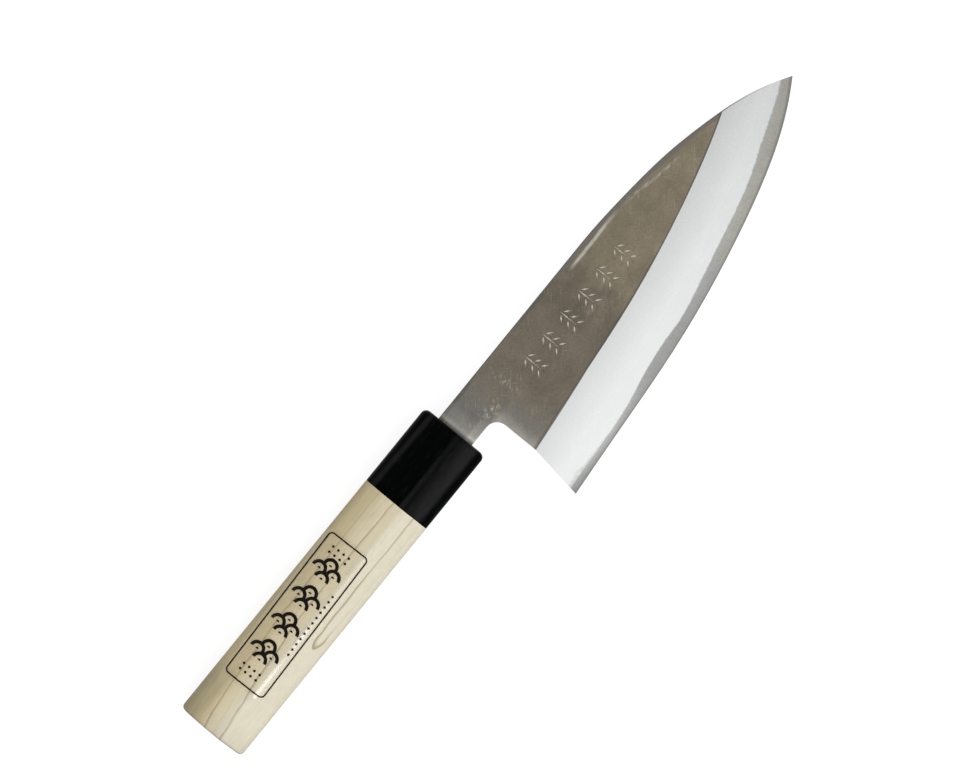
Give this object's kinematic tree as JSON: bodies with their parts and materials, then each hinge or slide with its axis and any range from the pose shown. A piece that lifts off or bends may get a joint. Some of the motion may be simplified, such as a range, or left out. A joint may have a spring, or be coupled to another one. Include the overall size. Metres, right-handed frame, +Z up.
{
  "type": "deba knife",
  "caption": "Single-bevel kitchen knife for cutting up fish, with a laminated blade, a black ferrule and a D-section wooden handle.",
  "frame": {"origin": "middle of the knife's outline box seen from above, level with the back of the handle it lies on", "axes": "+X from the butt of the handle to the tip, +Y from the cutting edge to the spine, +Z up out of the bevelled face"},
  "size_m": [0.3064, 0.06, 0.0216],
  "materials": {
    "soft_steel": "fine-ground flat, satin bevel",
    "hard_steel": "matte hazed edge band, ground back",
    "black_resin": "polished black moulding",
    "pale_wood": "bare sanded magnolia with a fine lengthwise grain",
    "bedding_resin": "set resin",
    "clear_film": "clear glossy film",
    "black_ink": "printed black"
  },
  "bodies": {
    "root": {"blade_cladding": "soft_steel", "cutting_steel": "hard_steel", "ferrule": "black_resin", "handle_body": "pale_wood", "tang_bedding": "bedding_resin", "label_film": "clear_film", "label_print": "black_ink"}
  },
  "joints": []
}
